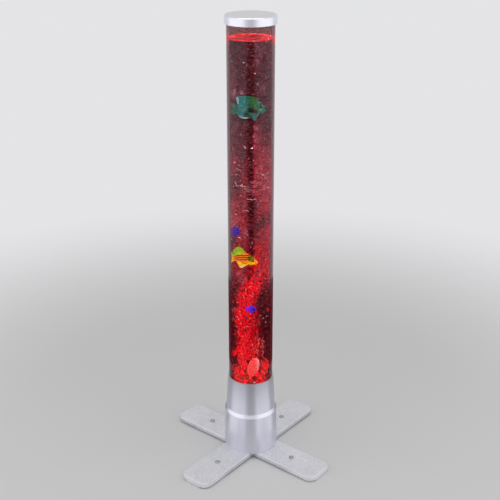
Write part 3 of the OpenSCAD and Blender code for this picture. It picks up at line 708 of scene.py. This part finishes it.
def tealPaint():
    finish, local, x, z, u, v = fishPaint("tealPaint", tealFish, 0.28, 3, 7)
    scales = finish.cells(finish.stretch(local, (1, 0.5, 1.2)), 0.55)
    rays = finish.noise(local, (1.1, 0.1, 0.12), 2)
    blue, deep, olive = linear(0, 114, 110), linear(0, 88, 60), linear(34, 96, 22)
    green, tail, black = linear(2, 112, 88), linear(2, 92, 72), linear(0, 3, 3)
    colour = layered(finish, blue, [
        (finish.step(u, -13, -5) * finish.step(v, -16, -4), deep),
        (finish.step(u, 0, 6) * finish.step(v, 0, 10), olive),
        (finish.step(u, 11, 17), green),
        (finish.step(x, -24, -30), tail), (finish.step(x, 28, 31), linear(0, 70, 62)),
        (finish.patch(x, z, (-28, 20), (4, 9)), linear(120, 172, 172)),
        (finish.patch(u, z, (-19, -16.5), (13, 3.4)), linear(122, 176, 166)),
        (finish.patch(u, v, (-10, -7.5), (6, 1.9)), black), (finish.patch(u, z, (-9, -13.5), (8, 2)), black),
        (finish.patch(u, v, (1, 1), (6, 5)), black), (finish.patch(u, v, (9, -3), (6.5, 4)), black),
        (finish.patch(x, v, (20.5, 9), (1.5, 5.5)), black), (finish.patch(x, v, (20.5, -6), (1.6, 4.5)), black),
        (finish.patch(x, z, (21.5, 1.2), (1.7, 1.7)), linear(176, 110, 120)),
    ])
    colour = finish.mix(finish.step(scales, 0.35, 0.75) * 0.35, colour, black)
    colour = finish.mix(finish.step(rays, 0.55, 0.7) * 0.2, colour, linear(90, 170, 160))
    return paintedGlow(finish, colour)


def yellowPaint():
    finish, local, x, z, u, v = fishPaint("yellowPaint", yellowFish, 0.3, 3, 5)
    stripes = finish.add("TexWave", {"bands_direction": "Z"}, {"Vector": local, "Scale": 0.072, "Distortion": 1.6,
                                                              "Detail": 1, "Detail Scale": 0.5})
    rays = finish.noise(local, (1.0, 0.1, 0.15), 2)
    orange, yellow, lime = linear(236, 122, 4), linear(242, 180, 12), linear(120, 170, 8)
    brown, olive = linear(48, 0, 0), linear(112, 104, 8)
    lines = finish.patch(x, z, (-18, 1.5), (20, 8)) * finish.step(stripes, 0.46, 0.62)
    colour = layered(finish, orange, [
        (finish.step(v, -5, -13), yellow), (finish.step(z - x * 0.35, 15, 20), lime),
        (finish.step(z - x * 0.2, 10, 13) * finish.step(x, -20, -4), olive),
        (finish.patch(u, v, (1, 0), (9, 7)), olive), (lines, brown),
        (finish.patch(u, v, (-15, -12.5), (6, 2)), linear(196, 40, 22)),
        (finish.step(x, -39, -43), linear(170, 170, 40)),
        (finish.step(z, -17, -21) * finish.step(x, -5, -12), linear(226, 190, 110)),
        (finish.patch(x, z, (5, -7), (2.1, 2.1)), linear(24, 16, 10)),
        (finish.patch(u, z, (12, -13), (2.6, 1.1)), linear(206, 110, 30)),
    ])
    colour = finish.mix(finish.step(rays, 0.55, 0.7) * finish.step(z, 9, 12) * 0.5, colour, linear(70, 84, 14))
    return paintedGlow(finish, colour)


def purplePaint():
    finish, _, x, z, u, _ = fishPaint("purplePaint", purpleFish, 0.5, 2, 3)
    colour = layered(finish, linear(76, 34, 204), [
        (finish.step(u, -3, -7), linear(156, 26, 184)),
        (finish.patch(u, z, (7, 0), (4, 4)), linear(42, 14, 150)),
        (finish.step(z, 6, 9), linear(110, 60, 214)),
        (finish.patch(x, z, (9.5, 1.2), (1.1, 1.1)), linear(16, 8, 40)),
    ])
    return paintedGlow(finish, colour)


addFish("tealFish", tealFish, tealPaint(), "teal_swimmer")
addFish("yellowFish", yellowFish, yellowPaint(), "yellow_swimmer")
addFish("purpleFish", purpleFish, purplePaint(), "purple_swimmer", 0.9)
print("fish done")


# Floating balls

def ballGloss(name, base, leftSideLightAndShade, strength=punch):
    finish, place = begun(name)
    normal = finish.parts(finish.add("NewGeometry", output="Normal"))
    cloud = finish.noise(place, 160, 2)
    # painted light and shade: faces turned to the left take another colour
    colour = finish.mix(finish.step(0 - normal[0], 0.35, 0.85), base, leftSideLightAndShade)
    colour = finish.mix(finish.step(cloud, 0.4, 0.7) * 0.4, colour, tuple(c * 0.5 for c in base))
    return paintedGlow(finish, colour, strength, 0.15)


dress(ballGloss("blueBallGloss", linear(10, 0, 130), linear(84, 2, 104)), "blue_ball")
dress(ballGloss("redBallGloss", linear(214, 12, 16), linear(150, 8, 14), 7.0), "red_ball")
dress(ballGloss("redBeadGloss", linear(150, 20, 28), linear(110, 12, 20)), "red_bead")
print("balls done")


# Stones: the built pebbles, rounded and dented

stones = {
    "gravel": {"levels": 1, "dent": 0.0006, "swell": 0.0008, "slot": "clear_stone"},
    "top_stones": {"levels": 2, "dent": 0.0009, "swell": 0.0014, "slot": "clear_stone"},
    "pale_stone": {"levels": 3, "dent": 0.0012, "swell": 0.0038, "slot": "pale_stone"},
    "red_stone": {"levels": 3, "dent": 0.0012, "swell": 0.0028, "slot": "clear_stone"},
}


def glassyRed():
    finish, place = begun("glassyRedStone")
    x, z = finish.alongAndUp()
    tint = finish.parts(finish.noise(place, 45, 1, output=1))[0]
    veins = finish.noise(finish.stretch(place, (1, 1, 1.6)), 170, 4, 0.65, 1.2)
    colour = finish.mix(finish.step(tint, 0.38, 0.62), linear(100, 2, 8), linear(230, 8, 20))
    colour = finish.mix(finish.step(veins, 0.48, 0.38) * 0.8, colour, linear(64, 0, 4))
    colour = finish.mix(finish.step(abs(veins - 0.55), 0.022, 0.008) * 0.45, colour, linear(255, 96, 90))
    # painted light: an orange pool of glow low in the middle, where the light comes up from below
    orange = finish.patch(x, z, (-3, 172), (12, 14), 0.8)
    colour = finish.mix(orange * 0.5, colour, linear(250, 66, 36))
    return paintedGlow(finish, colour, punch, 0.1)


def frostedPale():
    finish, place = begun("frostedPaleStone")
    x = finish.alongAndUp()[0]
    bands = finish.add("TexWave", {"bands_direction": "Z"},
                       {"Vector": place, "Scale": 55, "Distortion": 4, "Detail": 2})
    cloud = finish.noise(place, 90, 3)
    colour = finish.mix(finish.step(bands * 0.5 + cloud * 0.5, 0.35, 0.7), linear(255, 92, 88), linear(224, 34, 40))
    colour = finish.mix(finish.step(x, 10, 17) * 0.6, colour, linear(250, 160, 160))
    return paintedGlow(finish, colour, punch, 0.35)


def roundStones(node, material):
    stone = stones[node]
    piece = nodes[node].copy()
    piece.data = nodes[node].data.copy()
    piece.parent = None
    for key in list(piece.keys()):
        del piece[key]
    scene.collection.objects.link(piece)
    piece.name = piece.data.name = node + "Rounded"
    outwards(piece, weld=0.00001)
    applyModifier(piece, "SUBSURF", levels=stone["levels"], render_levels=stone["levels"])
    applyModifier(piece, "DISPLACE", strength=stone["swell"], mid_level=0)
    dents = bpy.data.textures.new(node + "Dents", "CLOUDS")
    dents.noise_scale = 0.009
    applyModifier(piece, "DISPLACE", texture=dents, strength=stone["dent"], mid_level=0.75)
    finishWith(piece, material, "lamp")
    smooth(piece, 180)
    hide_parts(node)
    print(node, len(piece.data.polygons), "faces")


redStoneGlass = glassyRed()
for node in ("gravel", "top_stones", "red_stone"):
    roundStones(node, redStoneGlass)
roundStones("pale_stone", frostedPale())
print("stones done")


# Bubbles: the rising plume, the strings beside it and the strays above

bubbles = {
    "seed": 5,
    "reach": 45,  # the furthest that they lie from the axis, in millimetres as everything here
    # height, then how far left and right the plume reaches
    "plume": [(206, -34, 20), (217, -34, 26), (249, -30, 28), (283, -31, 19), (317, -34, 25), (351, -37, 12),
              (384, -31, 10), (420, -25, 24), (435, -20, 26), (451, -14, 31), (470, -10, 38), (486, -4, 43),
              (506, -2, 43), (522, 4, 38), (536, 12, 30)],
    "plumeCount": 980, "plumeSize": (0.6, 1.35), "plumeRise": 290, "plumeSpill": 4,
    "wormCount": 64, "wormSize": (0.5, 0.9), "wormAcross": (-30, 20), "wormHeights": (205, 400),
    "stringCount": 16, "stringSize": (0.5, 0.85), "stringAcross": (8, 38), "stringHeights": (226, 296),
    "strayCount": 150, "straySize": (0.5, 1.05), "strayHeights": (300, 955),
    "dashCount": 1300, "dashSize": (0.8, 1.5), "dashHeights": (232, 962), "dashInner": (40, 26),
    "blobCount": 380, "blobSize": (1.2, 3.2), "blobHeights": (400, 960),
    "foamCount": 150, "foamSize": (0.5, 1.3), "foamReach": 45.4, "foamHeight": 968.6,
    "arcCount": 22, "arcSize": (0.4, 0.75), "arcHeights": (470, 770),
    # across, depth, height and size of each bright glint
    "glints": [(2.5, -44, 749, 1.3), (-14, -42, 926, 1.0), (9, -43.5, 904, 1.0), (9, -44, 194, 1.1),
               (-30, -33, 600, 0.7)],
    # fish, balls and top stones stay clear of bubbles: across, height, half width, half height
    "clear": [(-4, 821, 42, 30), (-14, 485, 34, 29), (0, 358, 15, 12), (-34, 547, 13, 13), (-38.5, 246, 8, 8),
              (38, 357, 6, 6), (6, 208, 17, 27), (31, 202, 15, 20)],
}

glows = {
    # screen colours that dark, bright and pale bubbles glow in as painted light, the pale ones as painted highlights,
    # then the bright and the pale share
    "riserGlow": ((50, 0, 2), (255, 6, 24), (255, 110, 110), 0.45, 0.02),
    "wormGlow": ((150, 0, 5), (255, 20, 34), (255, 120, 116), 0.5, 0.1),
    "stringGlow": ((230, 24, 36), (255, 74, 74), (255, 160, 150), 0.5, 0.3),
    "strayGlow": ((120, 60, 66), (190, 120, 128), (240, 200, 205), 0.5, 0.5),
    "dashGlow": ((24, 3, 6), (104, 12, 22), (120, 70, 82), 0.4, 0.2),
    "blobGlow": ((40, 2, 6), (92, 4, 12), (130, 8, 20), 0.5, 0.2),
    "foamGlow": ((180, 24, 40), (250, 60, 70), (255, 170, 170), 0.5, 0.1),
    "glintGlow": ((235, 200, 205), (255, 240, 240), (255, 255, 255), 0.5, 0.1),
}


def plumeReach(z):
    table = bubbles["plume"]
    for low, high in zip(table, table[1:]):
        if z <= high[0]:
            share = (z - low[0]) / (high[0] - low[0])
            return low[1] + (high[1] - low[1]) * share, low[2] + (high[2] - low[2]) * share
    return table[-1][1:]


def scatter(name, spots, material):
    # spots: across, depth and height, then half sizes along, through and up, and a turn about the upright
    model = primitive(name + "Model", "ico_sphere", subdivisions=1, radius=1)
    scene.collection.objects.unlink(model)
    copies = []
    for across, depth, height, size, turn in spots:
        copy = bpy.data.objects.new(name, model.data.copy())
        place = Matrix.Translation(Vector((across, depth, height)) * mm)
        shape = Matrix.Rotation(turn, 4, "Z") @ Matrix.Diagonal((*(half * mm for half in size), 1))
        copy.matrix_world = Matrix.Rotation(faceTurn, 4, "Z") @ place @ shape
        scene.collection.objects.link(copy)
        copies.append(copy)
    piece = joinAll(copies, name)
    pick(piece)
    bakePlace()
    bpy.data.objects.remove(model)
    finishWith(piece, material)
    smooth(piece, 180)
    print(name, len(piece.data.polygons), "faces")


def plumeFade(finish, x, z):
    # the plume is brightest low and to the left, and drifts right as it rises
    drift = finish.step(z, 340, 480, 0, 40)
    return finish.step(x - drift, 26, -14, 0.3, 1) * finish.step(z, 480, 400, 0.62, 1)


def bubbleGlow(name, regions=False, gain=1, fade=False):
    # each bubble takes one of three colours; in the upper water the right side is redder
    dark, bright, pale = (linear(*colour) for colour in glows[name][:3])
    brightShare, paleShare = glows[name][3:]
    finish, place = begun(name)
    first, second = finish.parts(finish.noise(place, 330, 2, 0.7, output=1))[:2]
    luck = first * 0.6 + finish.noise(place, 30, 3) * 0.4
    x, z = finish.alongAndUp()
    if regions:
        redder = finish.step(x, 0, 22) * finish.step(z, 760, 640) * finish.step(z, 330, 430)
        luck = luck + redder * 0.09 - finish.step(z, 430, 330) * 0.05
    colour = finish.mix(finish.step(luck, 0.53 - brightShare * 0.16, 0.59 - brightShare * 0.16), dark, bright)
    colour = finish.mix(finish.step(second, 0.60 - paleShare * 0.2, 0.64 - paleShare * 0.2), colour, pale)
    if fade:
        colour = finish.mix(plumeFade(finish, x, z), linear(58, 0, 6), colour)
    return paintedGlow(finish, colour, punch * gain, 0.1)


def rounded(rng, kind, squash=(0.6, 1)):
    radius = rng.uniform(*bubbles[kind + "Size"])
    return radius, radius, radius * rng.uniform(*squash)


def inFrontOfFish(across, depth, height):
    # seen from a little above, what covers a fish from the front or the back stands higher than the fish
    level = height - abs(depth) * (photo["height"] - height * mm) / photo["distance"]
    return any(abs(across - x) < halfX and abs(level - z) < halfZ for x, z, halfX, halfZ in bubbles["clear"])


def plumeSpots(rng):
    spots = []
    reach = bubbles["reach"]
    while len(spots) < bubbles["plumeCount"]:
        z = bubbles["plume"][0][0] + bubbles["plumeRise"] * rng.random() ** 1.25
        left, right = plumeReach(z)
        across = left + (right - left) * rng.random() + rng.gauss(0, bubbles["plumeSpill"])
        across = min(max(across, 1 - reach), reach - 1)
        deepest = math.sqrt(reach ** 2 - across ** 2) * 0.85
        depth = rng.uniform(-deepest, deepest)
        if not (inFrontOfFish(across, depth, z) and rng.random() < 0.7):
            spots.append((across, depth, z, rounded(rng, "plume"), 0))
    return spots


def stringSpots(rng, kind, past):
    # wiggling strings of small bubbles, inside the plume or past its right edge
    spots = []
    for string in range(bubbles[kind + "Count"]):
        x, z = rng.uniform(*bubbles[kind + "Across"]), rng.uniform(*bubbles[kind + "Heights"])
        depth, drift, lean = rng.uniform(-34, 10), rng.uniform(0.3, 1.1), rng.uniform(-0.5, 0.5)
        left, right = plumeReach(z)
        x = min(max(x, left + rng.uniform(-3, 6)), right + (past or rng.uniform(-8, 4)))
        for step in range(rng.randint(8, 22)):
            z += rng.uniform(0.8, 1.8)
            x += math.sin(step * drift + string) * 1.3 + lean
            if math.hypot(x, depth) < bubbles["reach"] - 1 and not inFrontOfFish(x, depth, z):
                spots.append((x, depth, z, rounded(rng, kind), 0))
    return spots


def scattered(rng, kind, inner, squash=(0.6, 1), along=(1, 1)):
    # spots spread between a radius and the wall, each turned to lie along the wall
    spots = []
    while len(spots) < bubbles[kind + "Count"]:
        turn, reach = rng.uniform(0, 2 * math.pi), rng.uniform(inner, bubbles["reach"])
        across, depth = reach * math.cos(turn), reach * math.sin(turn)
        height = rng.uniform(*bubbles[kind + "Heights"])
        length, through, up = rounded(rng, kind, squash)
        left, right = plumeReach(height)
        plumeFront = height < 455 and depth < 10 and left < across < right
        if not (inFrontOfFish(across, depth, height) or plumeFront or (height < 420 and rng.random() < 0.6)):
            spots.append((across, depth, height, (length * rng.uniform(*along), through, up), turn + math.pi / 2))
    return spots


def arcSpots(rng):
    # short level trains of tiny bubbles, each bent a little
    spots = []
    for _ in range(bubbles["arcCount"]):
        turn, reach, z = rng.uniform(0, 2 * math.pi), rng.uniform(12, 43), rng.uniform(*bubbles["arcHeights"])
        bend, lean = rng.uniform(-2.5, 2.5), rng.uniform(-0.15, 0.15)
        count = rng.randint(9, 24)
        for step in range(count):
            angle = turn + step / reach
            rise = bend * math.sin(step / count * math.pi) + lean * step + rng.uniform(-0.2, 0.2)
            spot = (reach * math.cos(angle), reach * math.sin(angle), z + rise)
            if not inFrontOfFish(*spot):
                spots.append((*spot, rounded(rng, "arc"), 0))
    return spots


def foamSpots(rng):
    spots = []
    for _ in range(bubbles["foamCount"]):
        turn = rng.uniform(0, 2 * math.pi)
        reach = bubbles["foamReach"] - abs(rng.gauss(0, 5))
        spots.append((reach * math.cos(turn), reach * math.sin(turn), bubbles["foamHeight"], rounded(rng, "foam"), 0))
    return spots


rng = random.Random(bubbles["seed"])
scatter("plumeBubbles", plumeSpots(rng), bubbleGlow("riserGlow", fade=True))
scatter("plumeWorms", stringSpots(rng, "worm", None), bubbleGlow("wormGlow", fade=True))
scatter("bubbleStrings", stringSpots(rng, "string", 12), bubbleGlow("stringGlow"))
strayGlow = bubbleGlow("strayGlow", gain=1.6)
scatter("strayBubbles", scattered(rng, "stray", 30), strayGlow)
dashGlow = bubbleGlow("dashGlow", regions=True)
for number, inner in enumerate(bubbles["dashInner"]):
    scatter("dashBubbles%d" % number, scattered(rng, "dash", inner, (0.4, 0.8), (1.5, 4.5)), dashGlow)
# painted shade: small dim red blobs scattered through the water as dark patches
scatter("redBlobs", scattered(rng, "blob", 12, (0.5, 0.9), (1, 2.2)), bubbleGlow("blobGlow", regions=True))
scatter("foam", foamSpots(rng), bubbleGlow("foamGlow"))
scatter("arcBubbles", arcSpots(rng), strayGlow)
scatter("glints", [(across, depth, height, (size,) * 3, 0) for across, depth, height, size in bubbles["glints"]],
        bubbleGlow("glintGlow", gain=2.5))


# Painted light in the middle of the water: a sheet of painted glow, shade and sheen, behind the fish as they are seen
# from either side

glowSheet = {"low": 226, "high": 966.5, "reach": 45.6, "thickness": 0.3, "alpha": 0.92, "edgeAlpha": 0.5}
# colours of the plume painted on the sheet; the palest are painted highlights
plumeGlow = {"dark": linear(36, 0, 2), "mid": linear(206, 0, 16), "line": linear(255, 16, 32),
             "highlightDot": linear(255, 124, 116)}


def plumeMask(finish, x, z, wander):
    low, high = bubbles["plume"][0][0], bubbles["plume"][-1][0]
    stops = [((height - low) / (high - low), ((left + 50) / 100, (right + 50) / 100, 0))
             for height, left, right in bubbles["plume"]]
    left, right = finish.parts(finish.ramp(finish.step(z, low, high), stops))[:2]
    place = (x + wander) / 100 + 0.5
    edges = finish.step(place - left, -0.05, 0.06) * finish.step(right - place, -0.05, 0.08)
    return edges * finish.step(z, high + 8, 500)


def sheetGlow():
    finish, place = begun("sheetGlow")
    x, z = finish.alongAndUp()
    cloud, fine = drifts(finish, place)
    glow = waterGlow(finish, x, z, cloud, fine)
    # painted sheen: greyish pink on the sides, none up the middle
    sideSheen = finish.step(abs(x), 5, 13) * finish.step(z, 420, 700) * finish.step(fine, 0.25, 0.6)
    glow = finish.mix(sideSheen * 0.6, glow, water["sideSheen"])
    flat = finish.noise(place, (60, 60, 190), 2, 0.5, 1.2)
    speck = finish.step(finish.cells(finish.stretch(place, (1, 1, 1.3)), 90), 0.22, 0.13)
    speck = speck * finish.step(fine, 0.5, 0.56)
    arcs = finish.step(abs(flat - 0.5), 0.05, 0.02) * finish.step(cloud, 0.54, 0.6)
    # painted shade in dark flat patches; painted glints in pale arcs and specks
    glow = layered(finish, glow, [(finish.step(flat, 0.42, 0.34) * 0.6, (0.0, 0.0, 0.0)), (arcs * 0.6, water["pale"]),
                                  (speck, water["pale"])])
    upright = finish.noise(place, (110, 110, 55), 1, 0.5, 1.2)
    tangle = finish.noise(place, (90, 90, 100), 1, 0.5, 1.8)
    clumps = finish.noise(place, (120, 120, 75), 2, 0.6, 0.8)
    dots = finish.step(finish.cells(finish.stretch(place, (1, 1, 0.8)), 190), 0.30, 0.20)
    # the plume is painted on the sheet: bubbles glowing dark, mid and bright red, with pale painted highlights in
    # specks
    plume = layered(finish, plumeGlow["dark"], [
        (finish.step(clumps, 0.42, 0.50), plumeGlow["mid"]),
        (finish.step(abs(tangle - 0.40), 0.05, 0.03), plumeGlow["dark"]),
        (finish.step(abs(upright - 0.5), 0.045, 0.025), plumeGlow["line"]),
        (finish.step(abs(tangle - 0.52), 0.035, 0.02), plumeGlow["line"]),
        (dots * finish.step(clumps, 0.48, 0.54), plumeGlow["highlightDot"]),
    ])
    plume = finish.mix(plumeFade(finish, x, z), plumeGlow["dark"], plume)
    colour = finish.mix(plumeMask(finish, x, z, (fine - 0.5) * 30 + (clumps - 0.5) * 16), glow, plume)
    # painted darkness: a near-black sheet, nearly opaque, behind the painted glow
    material = finish.surface({"Base Color": (0.02, 0.002, 0.003, 1), "Roughness": 0.9, "Specular IOR Level": 0.0,
                               "Alpha": finish.step(abs(x), 46, 40, glowSheet["edgeAlpha"], glowSheet["alpha"]),
                               "Emission Color": colour, "Emission Strength": punch})
    material.cycles.emission_sampling = "NONE"
    return material


def addGlowSheet():
    low, high = glowSheet["low"], glowSheet["high"]
    piece = primitive("glowSheet", "cube", size=1, location=(0, 0, (low + high) / 2))
    piece.scale = (2 * glowSheet["reach"], glowSheet["thickness"], high - low)
    bakePlace()
    settle(piece, turn=faceTurn)
    finishWith(piece, sheetGlow())


addGlowSheet()
print("bubbles and glow done")


# The water's surface and the mist above it

surface = {"radius": 46.2, "thickness": 0.5, "height": 968.4, "rimRadius": 45.9, "rimWidth": 0.7, "rimHeight": 968.9,
           "dark": linear(130, 0, 8), "bright": linear(255, 4, 24), "edge": linear(255, 16, 36), "strength": 2.3}


def surfaceGlow():
    finish, place = begun("waterSurface")
    x, y = finish.parts(finish.local((0, 0, 0)))[:2]
    reach = (x * x + y * y) ** 0.5
    cloud = finish.noise(place, 55, 4, 0.6)
    colour = finish.mix(finish.step(cloud, 0.4, 0.65), surface["dark"], surface["bright"])
    colour = finish.mix(finish.step(reach, 41, 45.5) * 0.4, colour, surface["edge"])
    return paintedGlow(finish, colour, surface["strength"], 0.15)


def addWaterSurface():
    disc = primitive("waterSurface", "cylinder", vertices=96, radius=surface["radius"], depth=surface["thickness"],
                     location=(0, 0, surface["height"]))
    rim = primitive("waterRim", "torus", major_radius=surface["rimRadius"], minor_radius=surface["rimWidth"],
                    major_segments=96, minor_segments=10, location=(0, 0, surface["rimHeight"]))
    for piece in (disc, rim):
        pick(piece)
        bakePlace()
    piece = joinAll([disc, rim], "waterSurface")
    settle(piece)
    finishWith(piece, surfaceGlow())
    smooth(piece)


mist = {"radius": 46.9, "height": 28, "middle": 982.1, "thickness": 0.3,
        "damp": linear(40, 8, 14), "drop": linear(190, 120, 130), "glow": linear(120, 14, 24)}


def mistOnWall():
    finish, place = begun("mistOnWall")
    drops = finish.step(finish.cells(place, 330), 0.30, 0.16)
    cloud = finish.noise(place, 60, 3)
    colour = finish.mix(drops, mist["damp"], mist["drop"])
    glow = finish.mix(cloud * 0.8, (0, 0, 0), mist["glow"])
    return finish.surface({"Base Color": colour, "Alpha": 0.48 + drops * 0.15, "Emission Color": glow,
                           "Emission Strength": 1.0, "Roughness": 0.2, "Normal": finish.bump(drops, 0.0005, 0.6)})


def addMist():
    piece = primitive("wallMist", "cylinder", vertices=128, radius=mist["radius"], depth=mist["height"],
                      end_fill_type="NOTHING")
    settle(piece, (0, 0, mist["middle"] * mm))
    applyModifier(piece, "SOLIDIFY", thickness=mist["thickness"] * mm, offset=-1)
    finishWith(piece, mistOnWall())
    smooth(piece)


addWaterSurface()
addMist()
scene.cycles.transparent_max_bounces = 24
print("surface and mist done")
